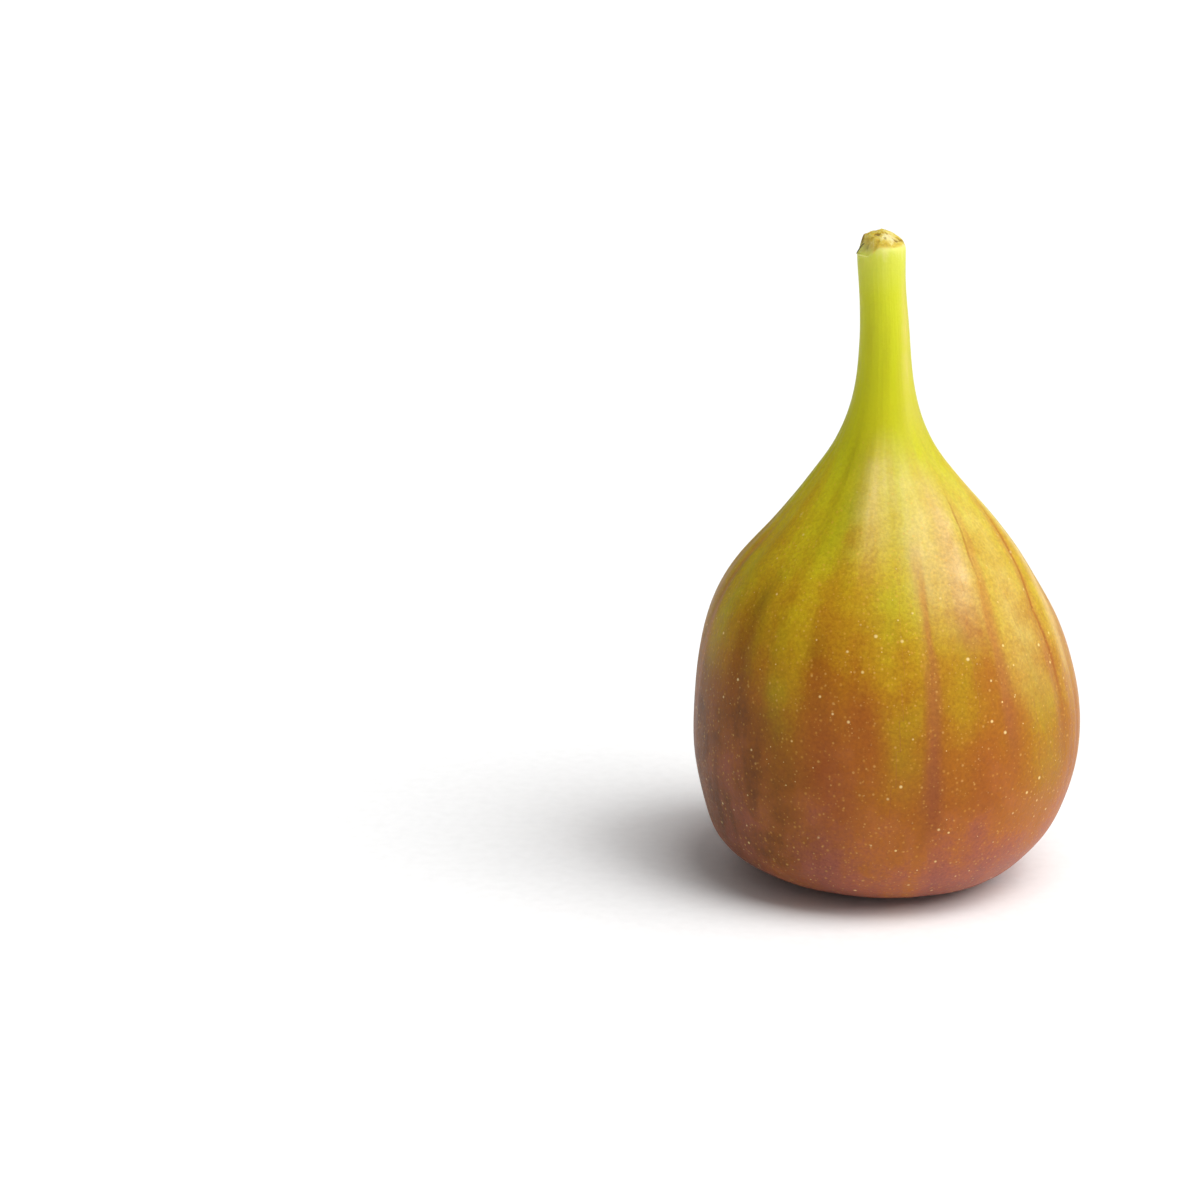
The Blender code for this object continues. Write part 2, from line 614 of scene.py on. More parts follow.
@dataclass(frozen=True)
class DriedCut:
    """The cut end of the stem: sap dried to a tan crust, with brown pits and a chalky patch."""

    crust_size: float = 0.8  # millimetres
    chalk_at: tuple[float, float, float] = (0.5, -1.2, -0.6)  # millimetres from the top's middle
    chalk_reach: float = 0.8

    def lay_over(
        self, tree: Tree, colour: Socket, in_mm: Socket, top: Vector
    ) -> tuple[Socket, Socket, Socket]:
        """Lay the dried sap over the skin's colour.

        Args:
            tree: the skin's node tree.
            colour: the skin's colour.
            in_mm: the place on the fruit in millimetres.
            top: the middle of the cut end, in millimetres.

        Returns:
            The colour, where the sap lies, and its roughness.
        """
        crust = add_node(
            tree,
            "TexNoise",
            {"Scale": 1 / self.crust_size, "Detail": 4.0, "Roughness": 0.65, "Distortion": 0.6},
            {"Vector": in_mm},
        ).outputs["Fac"]
        cut = add_node(tree, "Attribute", {"attribute_name": Fruit.CUT}).outputs["Fac"]
        fray = {"operation": "MULTIPLY_ADD", 1: 0.9}
        frayed = add_node(tree, "Math", fray, {0: crust, 2: cut}).outputs[0]
        limits = {"interpolation_type": "SMOOTHSTEP", "From Min": 0.65, "From Max": 1.35}
        dried = add_node(tree, "MapRange", limits, {0: frayed}).outputs[0]
        stops = [
            (0.28, linear("A08428")),
            (0.42, linear("C4A83C")),
            (0.54, linear("D0BC52")),
            (0.68, linear("DCD088")),
        ]
        sap = add_node(tree, "ValToRGB", {"stops": stops}, {0: crust}).outputs["Color"]
        apart = add_node(
            tree, "VectorMath", {"operation": "DISTANCE", 1: top + Vector(self.chalk_at)}, {0: in_mm}
        ).outputs["Value"]
        fray = {"operation": "MULTIPLY_ADD", 1: -1.4}
        edge = add_node(tree, "Math", fray, {0: crust, 2: apart}).outputs[0]
        limits = {"interpolation_type": "SMOOTHSTEP", "From Min": self.chalk_reach, "From Max": -0.2}
        chalk = add_node(tree, "MapRange", limits, {0: edge}).outputs[0]
        chalk = add_node(tree, "Math", {"operation": "MULTIPLY", 1: 0.7}, {0: chalk}).outputs[0]
        sap = add_node(tree, "MixRGB", {2: linear("E6DCA8")}, {0: chalk, 1: sap}).outputs[0]
        pits = add_node(tree, "Attribute", {"attribute_name": Fruit.PITS}).outputs["Fac"]
        sap = add_node(tree, "MixRGB", {2: linear("7A5A20")}, {0: pits, 1: sap}).outputs[0]
        return add_node(tree, "MixRGB", None, {0: dried, 1: colour, 2: sap}).outputs[0], dried, crust


@dataclass(frozen=True)
class EyeScaleSkin:
    """The small scales that close the eye: dry at the tip, pink and moist towards their roots."""

    name: str = "fig_eye_scale"
    cells_per_mm: float = 2.2

    def build(self, centre: Vector, reach: float) -> bpy.types.Material:
        """Build the material.

        Args:
            centre: the middle of the eye, in metres.
            reach: how far the scales reach from it, in metres.

        Returns:
            The finished material.
        """
        even = {"Roughness": 0.5, "Subsurface Weight": 0.1, "Subsurface Scale": 0.8 * MM}
        material, tree, shader = new_material(self.name, even)
        place = add_node(tree, "TexCoord").outputs["Object"]
        local = add_node(tree, "VectorMath", {"operation": "SUBTRACT", 1: centre}, {0: place}).outputs[0]
        away = add_node(tree, "VectorMath", {"operation": "LENGTH"}, {0: local}).outputs["Value"]
        share = add_node(tree, "Math", {"operation": "DIVIDE", 1: reach}, {0: away}).outputs[0]
        pattern = {"Scale": self.cells_per_mm / MM, "Detail": 3.0}
        fine = add_node(tree, "TexNoise", pattern, {"Vector": local}).outputs["Fac"]
        uneven = {"operation": "MULTIPLY_ADD", 1: 0.35}
        uneven_share = add_node(tree, "Math", uneven, {0: fine, 2: share}).outputs[0]
        stops = [
            (0.15, linear("6E2418")),
            (0.45, linear("B0483C")),
            (0.80, linear("C0604A")),
            (0.95833333, linear("8C4A34")),
        ]
        colour = add_node(tree, "ValToRGB", {"stops": stops}, {0: uneven_share}).outputs["Color"]
        tree.links.new(colour, shader.inputs["Base Color"])
        wrinkle = {"Strength": 0.4, "Distance": 0.04 * MM}
        bump = add_node(tree, "Bump", wrinkle, {"Height": fine}).outputs[0]
        tree.links.new(bump, shader.inputs["Normal"])
        return material


@dataclass(frozen=True)
class StudioPaper:
    """Matt white paper: an even pale ground with a hint of fibre."""

    name: str = "white_paper"
    fibre_size: float = 1.5  # millimetres; real fibres are finer, drawn coarser to show

    def build(self) -> bpy.types.Material:
        """Build the material.

        Returns:
            The finished material.
        """
        even = {"Roughness": 0.9, "Specular IOR Level": 0.2}
        material, tree, shader = new_material(self.name, even)
        place = add_node(tree, "TexCoord").outputs["Object"]
        pattern = {"Scale": 1 / (self.fibre_size * MM), "Detail": 3.0}
        fibre = add_node(tree, "TexNoise", pattern, {"Vector": place}).outputs["Fac"]
        stops = [(0.3, linear("F6F6F6")), (0.7, linear("FAFAFA"))]
        colour = add_node(tree, "ValToRGB", {"stops": stops}, {0: fibre}).outputs["Color"]
        tree.links.new(colour, shader.inputs["Base Color"])
        return material


@dataclass(frozen=True)
class DriedFibre:
    """A thread of skin dried black: dull and dark, with brown flecks where it has cracked."""

    name: str = "dried_black_fibre"
    flecks_per_mm: float = 3.0

    def build(self) -> bpy.types.Material:
        """Build the material.

        Returns:
            The finished material.
        """
        material, tree, shader = new_material(self.name, {"Roughness": 0.7})
        place = add_node(tree, "TexCoord").outputs["Object"]
        pattern = {"Scale": self.flecks_per_mm / MM}
        fleck = add_node(tree, "TexNoise", pattern, {"Vector": place}).outputs["Fac"]
        stops = [(0.35, linear("2A2214")), (0.7, linear("5A4A26"))]
        colour = add_node(tree, "ValToRGB", {"stops": stops}, {0: fleck}).outputs["Color"]
        tree.links.new(colour, shader.inputs["Base Color"])
        return material


@dataclass(frozen=True)
class Stroke:
    """One soft stroke of colour down the skin.

    Bearings are in degrees from the front, positive to the right; heights and widths in millimetres.
    """

    WAVE_PITCH: ClassVar[float] = 0.21  # radians of its wander in a millimetre
    END_REACH: ClassVar[float] = 8.0  # the most that an end takes to come in, in millimetres

    tone: Tone
    path: tuple[tuple[float, float], ...]  # (height, bearing) from the top down
    widths: tuple[float, float]  # at the top and at the low end
    strength: float
    groove: float = 0.0  # how deep the skin dips along it
    wave: float = 0.5  # how far it wanders, in degrees

    def off_centre(self, bearing: np.ndarray, radius: np.ndarray, height: np.ndarray) -> np.ndarray:
        """Work out how far each point lies to the right of the stroke.

        Args:
            bearing: each point's bearing from the front, in degrees.
            radius: each point's distance from the middle line, in millimetres.
            height: each point's height, in millimetres.

        Returns:
            The distances, in millimetres.
        """
        heights, bearings = np.array(self.path[::-1]).T
        wander = np.sin(height * self.WAVE_PITCH + heights[0] + bearings[0])
        line = np.interp(height, heights, bearings) + self.wave * wander
        return np.radians((bearing - line + 180.0) % 360.0 - 180.0) * radius

    def width_at(self, height: np.ndarray) -> np.ndarray:
        """Return the stroke's width at each height, in millimetres."""
        low, top = self.path[-1][0], self.path[0][0]
        return np.interp(height, (low, top), self.widths[::-1])

    def ends(self, height: np.ndarray) -> np.ndarray:
        """Fade the stroke in and out.

        Args:
            height: each point's height, in millimetres.

        Returns:
            1 along the stroke, falling softly to 0 past both ends.
        """
        low, top = self.path[-1][0], self.path[0][0]
        soft = min(self.END_REACH, 0.4 * (top - low))
        return smooth_step(top + 1.0, top - soft, height) * smooth_step(low - 4.0, low + soft, height)


@dataclass(frozen=True)
class Relief:
    """How far the skin rises and dips, and where: heights and sizes in millimetres."""

    rib: float = 0.10
    shoulder_rib: float = 0.30  # what the shoulder adds to the ribs
    rib_turns: float = 2.6  # noise cells in a radius
    rib_drift: float = 0.008  # noise cells in a millimetre along the fruit
    rib_loss: float = 0.75  # the share of the ribs that fades out on the stem
    vein: float = 0.025
    shoulder_vein: float = 0.05
    stem_vein: float = 0.02
    vein_turns: float = 8.0
    vein_drift: float = 0.012
    dent: float = 0.12
    dent_size: float = 13.0
    dent_loss: float = 0.8  # the share of the dents that fades out on the stem
    shoulder_start: tuple[float, float] = (16.0, 40.0)
    shoulder_end: tuple[float, float] = (50.0, 62.0)
    stem_start: tuple[float, float] = (48.0, 60.0)
    calm_eye: tuple[float, float] = (2.0, 7.0)  # the relief comes in between these radii
    lean: float = 0.37  # how far the stem's end leans to the left
    lean_heights: tuple[float, float] = (67.0, 77.0)
    ridge_crest: float = 0.5  # how rounded a ridge is on top
    ridge_width: float = 2.2
    # Each ridge's line, as (height, bearing in degrees), and how high it stands
    ridges: tuple[tuple[tuple[tuple[float, float], ...], float], ...] = (
        (((62.0, -30.0), (53.0, -25.0), (46.0, -21.0), (37.0, -17.0)), 0.34),
        (((60.0, 60.0), (48.0, 52.0), (36.0, 46.0)), 0.16),
        (((58.0, 86.0), (44.0, 76.0), (30.0, 66.0), (16.0, 64.0)), 0.22),
        (((60.0, -86.0), (46.0, -72.0), (36.0, -68.0)), 0.18),
        (((60.0, 150.0), (48.0, 142.0), (34.0, 140.0)), 0.26),
        (((62.0, 212.0), (48.0, 205.0), (36.0, 208.0)), 0.24),
    )


@dataclass(frozen=True)
class CutEnd:
    """How the dried face of the cut is broken up, in millimetres. Depths are below the top."""

    face: tuple[float, float] = (1.7, 1.1)  # the face comes in between these depths
    skin: tuple[float, float] = (1.6, 1.2)  # and the skin's relief goes out between these
    whole: tuple[float, float] = (3.4, 1.0)  # what sinks with the face
    crust: tuple[float, float] = (2.4, 0.7)  # where dried sap lies
    sunk: float = 0.5  # how far the face has dried back
    lump: float = 0.12
    lump_cells: tuple[float, float, float] = (1.1, 1.1, 0.4)  # noise cells in a millimetre
    crumb: float = 0.06
    crumb_cells: tuple[float, float, float] = (2.7, 2.7, 1.0)
    crumb_shift: float = 5.0  # to another part of the noise
    slope: float = 0.10  # rise towards the back, in each millimetre
    back_lift: float = 0.42  # what the back edge stands above that
    back_reach: tuple[float, float] = (0.6, 2.3)
    lip_radius: float = 2.6
    lip_width: float = 0.5
    lip_wave: float = 0.08
    chip: float = 1.25  # how far the left corner has broken down
    chip_reach: tuple[float, float] = (1.5, 2.9)
    chip_turn: float = 0.35  # how far the chip is turned to the front, as a slope
    bare_chip: float = 0.75  # the share of the sap that the chip has lost
    ridge: float = 0.16
    ridge_at: float = 0.05
    ridge_width: float = 0.55
    pit: float = 0.18
    pit_cells: tuple[float, float, float] = (1.5, 1.5, 0.6)
    pit_shift: float = -3.0
    pit_limits: tuple[float, float] = (0.20, 0.46)  # noise from the edge to the bottom of a pit
    pit_reach: tuple[float, float] = (2.1, 2.6)  # the pits go out between these radii
    pit_stain: float = 0.75
    rim_radius: float = 2.62  # the brown rim behind the face
    rim_width: float = 0.26
    rim_start: tuple[float, float] = (-1.2, 0.6)  # it comes in between these places, front to back
    rim_stain: float = 0.9


@dataclass
class Fruit:
    """The fruit's whole skin, from the eye under the base to the cut end of the stem."""

    RUN: ClassVar[str] = "run"
    CUT: ClassVar[str] = "cut"
    PITS: ClassVar[str] = "pits"

    # The side, from the resting ring up to the lip of the cut, as
    # (share of the belly's radius, share of the height)
    side: ClassVar[tuple[tuple[float, float], ...]] = (
        (0.364, 0.0),
        (0.490, 0.006),
        (0.690, 0.026),
        (0.848, 0.068),
        (0.935, 0.124),
        (0.997, 0.209),
        (0.982, 0.307),
        (0.900, 0.404),
        (0.750, 0.488),
        (0.553, 0.560),
        (0.379, 0.621),
        (0.237, 0.681),
        (0.149, 0.765),
        (0.119, 0.886),
        (0.122, 0.965),
    )
    # The sideways drift of the middle, as (share of the height, millimetres to the right)
    drift: ClassVar[tuple[tuple[float, float], ...]] = (
        (0.0, 0.7),
        (0.05, -0.6),
        (0.12, -0.1),
        (0.26, 0.2),
        (0.38, -0.35),
        (0.47, -0.8),
        (0.56, -0.3),
        (0.66, -0.8),
        (0.80, -1.0),
        (1.0, -1.4),
    )
    # The underside from the middle of the eye out, and the cut end from its lip in, in millimetres:
    # (radius, height above the resting plane) and (radius, depth below the top)
    eye: ClassVar[tuple[tuple[float, float], ...]] = (
        (0.5, 1.08),
        (1.3, 1.02),
        (2.1, 0.80),
        (2.8, 0.45),
        (3.3, 0.14),
        (3.8, 0.0),
        (5.2, 0.0),
        (7.0, 0.0),
    )
    cut: ClassVar[tuple[tuple[float, float], ...]] = (
        (2.90, 2.30),
        (2.88, 1.90),
        (2.76, 1.50),
        (2.66, 1.22),
        (2.48, 0.98),
        (2.20, 0.80),
        (1.70, 0.55),
        (1.10, 0.28),
        (0.50, 0.08),
    )

    box: tuple[Vector, Vector]
    around: int = 72  # points in each ring of the cage
    side_rings: int = 58
    levels: int = 2
    back: tuple[float, float] = (92.0, 280.0)  # bearings between which the strokes are scattered
    heart: float = 0.26  # the height of the belly's middle, as a share of the whole
    relief: Relief = Relief()
    cut_end: CutEnd = CutEnd()
    depth_share: float = field(init=False)
    radius: float = field(init=False)
    height: float = field(init=False)

    def __post_init__(self) -> None:
        """Take the driving sizes from the frame's box."""
        size = self.box[1] - self.box[0]
        self.radius = size.x / 2 / MM
        self.depth_share = size.y / size.x
        self.height = size.z / MM

    def strokes(self) -> list[Stroke]:
        """List the strokes of colour: the placed ones in front, then scattered ones round the back.

        Returns:
            All the strokes.
        """
        left_edge = ((44.0, -53.0), (38.0, -56.0), (27.0, -54.0), (20.0, -53.0))
        left_band = ((40.0, -32.0), (34.0, -29.0), (26.0, -24.0), (12.0, -18.0))
        middle = ((46.0, 6.5), (41.0, 8.3), (33.0, 8.5), (24.0, 9.0), (11.0, 9.6))
        right = ((51.0, 46.0), (43.0, 36.5), (36.0, 33.2), (20.0, 35.5))
        far_right = ((51.0, 76.0), (43.0, 68.0), (36.0, 59.0), (30.0, 58.0), (18.0, 58.5))
        right_crease = ((50.0, 78.0), (43.0, 69.6), (36.0, 60.4), (24.0, 59.5))
        right_bloom_and_highlight = ((56.0, 88.0), (48.0, 84.0), (43.0, 79.0), (34.0, 71.0), (26.0, 68.0))
        placed = [
            Stroke(Tone.STREAK, middle, (0.5, 1.2), 0.62, 0.08),
            Stroke(Tone.BLUSH, ((38.0, 8.3), (11.0, 9.6)), (0.8, 3.2), 0.5),
            Stroke(Tone.STREAK, right, (0.5, 1.1), 0.5, 0.07),
            Stroke(Tone.BLUSH, ((38.0, 34.0), (18.0, 36.0)), (0.9, 2.4), 0.3),
            Stroke(Tone.CREASE, ((50.0, 42.0), (43.5, 36.0), (42.0, 35.4)), (0.15, 0.2), 0.5),
            Stroke(Tone.STREAK, far_right, (0.9, 1.2), 0.5, 0.10),
            Stroke(Tone.CREASE, right_crease, (0.18, 0.25), 0.6, 0.10),
            Stroke(Tone.STREAK, ((33.0, 66.0), (12.0, 65.0)), (0.3, 0.4), 0.4, 0.06),
            Stroke(Tone.STREAK, ((35.0, 73.0), (11.0, 71.0)), (0.35, 0.5), 0.45, 0.07),
            Stroke(Tone.STREAK, ((36.0, 81.0), (11.0, 79.0)), (0.35, 0.5), 0.4, 0.07),
            Stroke(Tone.BROWN, left_edge, (1.3, 3.4), 0.55, 0.08),
            # painted shade: three wide dark brown strokes darken the lower left side
            Stroke(Tone.BROWN, ((30.0, -104.0), (2.0, -98.0)), (8.0, 12.0), 0.5),
            Stroke(Tone.BROWN, ((32.0, -80.0), (0.0, -72.0)), (8.0, 14.0), 0.8),
            Stroke(Tone.BROWN, ((30.0, -46.0), (2.0, -42.0)), (4.0, 12.0), 0.62),
            Stroke(Tone.BROWN, left_band, (1.4, 3.2), 0.22, 0.05),
            Stroke(Tone.BLUSH, ((30.0, -27.0), (22.0, -22.0), (12.0, -18.0)), (1.4, 4.0), 0.5),
            Stroke(Tone.BLUSH, ((31.0, -12.0), (20.0, -10.0)), (1.5, 3.0), 0.6),
            Stroke(Tone.BLUSH, ((27.0, 22.0), (12.0, 24.0)), (2.4, 4.0), 0.35),
            Stroke(Tone.GREEN, ((60.0, -34.0), (50.0, -32.0), (40.0, -36.0)), (2.0, 4.0), 0.75),
            Stroke(Tone.GREEN, ((48.0, -74.0), (28.0, -72.0)), (3.0, 3.6), 0.55),
            Stroke(Tone.GREEN, ((40.0, -42.0), (24.0, -39.0)), (1.6, 2.4), 0.4),
            Stroke(Tone.GREEN, ((42.0, -9.0), (34.0, -4.0)), (1.8, 3.0), 0.35),
            Stroke(Tone.GREEN, ((30.0, 0.0), (18.0, 2.0)), (1.6, 2.6), 0.3),
            Stroke(Tone.GREEN, ((38.0, 20.0), (26.0, 19.0)), (1.4, 2.2), 0.25),
            Stroke(Tone.GREEN, ((38.0, 48.0), (24.0, 46.0)), (1.4, 2.2), 0.35),
            # bloom strokes that are also a painted highlight on the front shoulder and a painted
            # reflection along the right side
            Stroke(Tone.BLOOM, ((57.0, -14.0), (52.0, -16.0), (44.0, -14.0)), (1.3, 2.2), 0.42),
            Stroke(Tone.BLOOM, ((56.0, 6.0), (38.0, 12.0)), (1.5, 2.6), 0.4),
            Stroke(Tone.BLOOM, ((54.0, 30.0), (46.0, 27.0), (36.0, 25.0)), (1.5, 3.2), 0.5),
            Stroke(Tone.BLOOM, ((54.0, 60.0), (40.0, 50.0), (26.0, 48.0)), (3.0, 5.0), 0.22),
            Stroke(Tone.BLOOM, right_bloom_and_highlight, (1.0, 1.6), 0.45),
            Stroke(Tone.BLOOM, ((40.0, 84.0), (10.0, 82.0)), (1.8, 2.4), 0.2),
            Stroke(Tone.BLUSH, ((49.0, 7.5), (43.0, 8.5), (36.0, 8.6)), (0.9, 1.6), 0.3),
            Stroke(Tone.BLUSH, ((54.0, 34.0), (47.0, 30.0), (40.0, 26.0)), (1.2, 2.2), 0.2),
            # painted shade: this green stroke darkens the stem's lit right side
            Stroke(Tone.GREEN, ((79.0, 62.0), (66.0, 64.0), (52.0, 62.0)), (1.6, 2.4), 0.5),
            Stroke(Tone.GREEN, ((75.0, -58.0), (62.0, -52.0), (50.0, -46.0)), (0.5, 1.2), 0.22),
            Stroke(Tone.GREEN, ((72.0, -22.0), (60.0, -24.0), (52.0, -24.0)), (0.35, 0.9), 0.25),
            Stroke(Tone.GREEN, ((70.0, 8.0), (60.0, 6.0), (54.0, 4.0)), (0.3, 0.7), 0.2),
            Stroke(Tone.GREEN, ((31.0, 52.0), (14.0, 52.0)), (3.0, 4.5), 0.28),
            # painted highlight: pale sheen on the stem's right side
            Stroke(Tone.BLOOM, ((76.0, 30.0), (66.0, 28.0), (57.0, 24.0)), (0.6, 1.0), 0.2),
            Stroke(Tone.BLOOM, ((78.0, 40.0), (66.0, 46.0), (52.0, 50.0)), (1.2, 1.6), 0.15),
        ]
        # Round the back each gets a tone, two ends, a width, a strength and a lean by chance
        draw = random.Random(SEED)
        bearing, last_bearing = self.back
        while bearing < last_bearing:
            tone = draw.choice((Tone.STREAK, Tone.BLUSH, Tone.BROWN, Tone.GREEN, Tone.STREAK))
            top = draw.uniform(34.0, 50.0)
            low = draw.uniform(6.0, 18.0)
            wide = draw.uniform(0.5, 1.1) if tone.sharp else draw.uniform(1.4, 4.0)
            strength = draw.uniform(0.35, 0.65)
            path = ((top, bearing + draw.uniform(-5.0, 5.0)), (low, bearing))
            placed.append(Stroke(tone, path, (0.4 * wide, wide), strength, 0.05, 1.6))
            bearing += draw.uniform(4.0, 9.0)
        return placed

    def stations(self) -> np.ndarray:
        """Work out the rings of the cage from the middle of the eye to the middle of the cut.

        Returns:
            One row of (radius, height) in millimetres for each ring.
        """
        curve = smooth_curve(self.side, 16) * (self.radius, self.height)
        steps = np.linalg.norm(np.diff(curve, axis=0), axis=1)
        distance = np.concatenate(([0.0], np.cumsum(steps)))
        places = np.linspace(0.0, distance[-1], self.side_rings)
        side = np.column_stack([np.interp(places, distance, curve[:, i]) for i in (0, 1)])
        cut = np.array([(radius, self.height - depth) for radius, depth in self.cut])
        return np.vstack((self.eye, side, cut))

    def middle(self, height: np.ndarray | float) -> np.ndarray | float:
        """Return the sideways drift of the fruit's middle at a height, both in millimetres."""
        shares, drifts = smooth_curve(self.drift, 12).T
        return np.interp(np.asarray(height) / self.height, shares, drifts)

    def near_top(self, depths: tuple[float, float], height: np.ndarray) -> np.ndarray:
        """Return 0 on the stem, rising to 1 between two depths below the top, in millimetres."""
        return smooth_step(self.height - depths[0], self.height - depths[1], height)

    def build(self) -> bpy.types.Object:
        """Model the fruit: draw up the cage, refine it, carve its relief and dress it.

        Returns:
            The finished fruit.
        """
        fruit = self.draw_cage()
        apply_subdivision(fruit, self.levels)
        self.centre(fruit)
        self.carve(fruit)
        bpy.ops.object.shade_smooth()
        self.dress(fruit)
        return fruit

    def draw_cage(self) -> bpy.types.Object:
        """Draw the cage up ring by ring from a circle, and close both ends.

        Returns:
            The coarse fruit.
        """
        stations = self.stations()
        bpy.ops.object.select_all(action="DESELECT")
        radius, height = stations[0]
        bpy.ops.mesh.primitive_circle_add(
            vertices=self.around,
            radius=radius * MM,
            fill_type="NOTHING",
            location=(self.middle(height) * MM, 0.0, height * MM),
        )
        cage = start_piece("fig_fruit")
        bpy.ops.mesh.select_all(action="SELECT")
        bpy.ops.transform.resize(value=(1.0, self.depth_share, 1.0))
        self.close_ring()
        bpy.ops.mesh.select_all(action="DESELECT")
        bpy.ops.mesh.select_non_manifold()
        for (r0, z0), (r1, z1) in zip(stations, stations[1:]):
            x0, x1 = self.middle(z0), self.middle(z1)
            bpy.ops.mesh.extrude_region_move(
                TRANSFORM_OT_translate={"value": ((x1 - x0) * MM, 0.0, (z1 - z0) * MM)}
            )
            bpy.ops.transform.resize(
                value=(r1 / r0, r1 / r0, 1.0), center_override=(x1 * MM, 0.0, z1 * MM)
            )
        self.close_ring()
        bpy.ops.mesh.select_all(action="SELECT")
        bpy.ops.mesh.normals_make_consistent(inside=False)
        bpy.ops.object.mode_set(mode="OBJECT")
        return cage

    def close_ring(self) -> None:
        """Fill the selected ring with a fan of faces that meet in its middle."""
        bpy.ops.mesh.edge_face_add()
        bpy.ops.mesh.poke()

    def centre(self, fruit: bpy.types.Object) -> None:
        """Put the middle of the fruit's box over the middle of the frame's box.

        Args:
            fruit: the refined fruit.
        """
        places = np.array([vertex.co for vertex in fruit.data.vertices])
        offset = (places.min(axis=0) + places.max(axis=0)) / 2
        wanted = (self.box[0] + self.box[1]) / 2
        fruit.data.transform(Matrix.Translation((wanted.x - offset[0], wanted.y - offset[1], 0.0)))

    def carve(self, fruit: bpy.types.Object) -> None:
        """Carve ribs, grooves, fibres and dents along the skin, and roughen the cut end.

        Args:
            fruit: the refined fruit.
        """
        mesh = fruit.data
        count = len(mesh.vertices)
        flat = np.empty(count * 3)
        mesh.vertices.foreach_get("co", flat)
        places = flat.reshape(-1, 3) / MM
        mesh.vertices.foreach_get("normal", flat)
        normals = flat.reshape(-1, 3).copy()

        height = places[:, 2]
        across = places[:, 0] - self.middle(height)
        deep = places[:, 1] / self.depth_share
        radius = np.hypot(across, deep)
        around = np.column_stack((across, deep)) / np.maximum(radius, 1e-6)[:, None]
        bearing = np.degrees(np.arctan2(places[:, 0], -deep))
        distance = self.distance_along(radius, height)

        write_attribute(mesh, self.RUN, np.column_stack((around, distance / CM)))
        grooves = self.paint_strokes(mesh, bearing, radius, height)

        form = self.relief
        places[:, 0] -= form.lean * smooth_step(*form.lean_heights, height)
        skin = 1.0 - self.near_top(self.cut_end.skin, height)
        shoulder = smooth_step(*form.shoulder_start, height)
        shoulder = shoulder * (1.0 - smooth_step(*form.shoulder_end, height))
        ribs = perlin(np.column_stack((around * form.rib_turns, distance * form.rib_drift)))
        veins = perlin(np.column_stack((around * form.vein_turns, distance * form.vein_drift)))
        dents = perlin(places / form.dent_size)
        stem = smooth_step(*form.stem_start, height)
        raise_by = ribs * (form.rib + form.shoulder_rib * shoulder) * (1.0 - form.rib_loss * stem)
        raise_by += veins * (form.vein + form.shoulder_vein * shoulder + form.stem_vein * stem)
        raise_by += dents * form.dent * (1.0 - form.dent_loss * stem)
        raise_by = raise_by - grooves + self.ridges(bearing, radius, height)
        raise_by = raise_by * skin * smooth_step(*form.calm_eye, radius)
        places = places + normals * raise_by[:, None]
        places = self.roughen_cut(mesh, places, around, radius, height)
        places[:, 2] = np.maximum(places[:, 2], 0.0)
        mesh.vertices.foreach_set("co", (places * MM).ravel())
        mesh.update()

    def distance_along(self, radius: np.ndarray, height: np.ndarray) -> np.ndarray:
        """Work out how far each point lies along the skin from the middle of the eye.

        Args:
            radius: each point's distance from the fruit's middle line, in millimetres.
            height: each point's height, in millimetres.

        Returns:
            The distances, in millimetres.
        """
        line = np.vstack(((0.0, self.eye[0][1]), self.stations(), (0.0, self.height)))
        steps = np.linalg.norm(np.diff(line, axis=0), axis=1)
        distance = np.concatenate(([0.0], np.cumsum(steps)))
        heart = self.heart * self.height
        angle = np.arctan2(line[:, 1] - heart, line[:, 0])
        return np.interp(np.arctan2(height - heart, radius), angle, distance)

    def ridges(self, bearing: np.ndarray, radius: np.ndarray, height: np.ndarray) -> np.ndarray:
        """Raise the few low ridges that run down from the neck over the shoulder.

        Args:
            bearing: each point's bearing from the front, in degrees.
            radius: each point's distance from the middle line, in millimetres.
            height: each point's height, in millimetres.

        Returns:
            How high the ridges stand, in millimetres.
        """
        crest, width = self.relief.ridge_crest, self.relief.ridge_width
        total = np.zeros(len(height))
        for path, tall in self.relief.ridges:
            stroke = Stroke(Tone.CREASE, path, (1.0, 1.0), 1.0)
            off = stroke.off_centre(bearing, radius, height)
            away = np.sqrt(off**2 + crest**2) - crest
            total += tall * np.exp(-away / width) * stroke.ends(height)
        return total

    def paint_strokes(
        self, mesh: bpy.types.Mesh, bearing: np.ndarray, radius: np.ndarray, height: np.ndarray
    ) -> np.ndarray:
        """Write each tone's strokes on the mesh.

        Args:
            mesh: the fruit's mesh, which gets an attribute for each tone: the strength of a soft
                tone, or the distance, width and strength of a sharp one.
            bearing: each point's bearing from the front, in degrees.
            radius: each point's distance from the middle line, in millimetres.
            height: each point's height, in millimetres.

        Returns:
            How deep the grooves under the strokes are, in millimetres.
        """
        count = len(height)
        clear = {tone: np.ones(count) for tone in Tone}
        lines = {tone: np.tile((9.0, 1.0, 0.0), (count, 1)) for tone in Tone}
        grooves = np.zeros(count)
        for stroke in self.strokes():
            off = stroke.off_centre(bearing, radius, height)
            width = stroke.width_at(height)
            strength = stroke.strength * stroke.ends(height)
            amount = strength * hump(off, width)
            near = (np.abs(off) < 4.5 * width) & (amount >= 1.0 - clear[stroke.tone]) & (strength > 0.0)
            lines[stroke.tone][near] = np.column_stack((off, width, strength))[near]
            if stroke.tone.sharp:
                clear[stroke.tone] = np.minimum(clear[stroke.tone], 1.0 - amount)
            else:
                clear[stroke.tone] *= 1.0 - amount
            grooves += stroke.groove * hump(off, np.maximum(0.5 * width, 0.5)) * stroke.ends(height)
        for tone in Tone:
            write_attribute(mesh, tone.value, lines[tone] if tone.sharp else 1.0 - clear[tone])
        return grooves

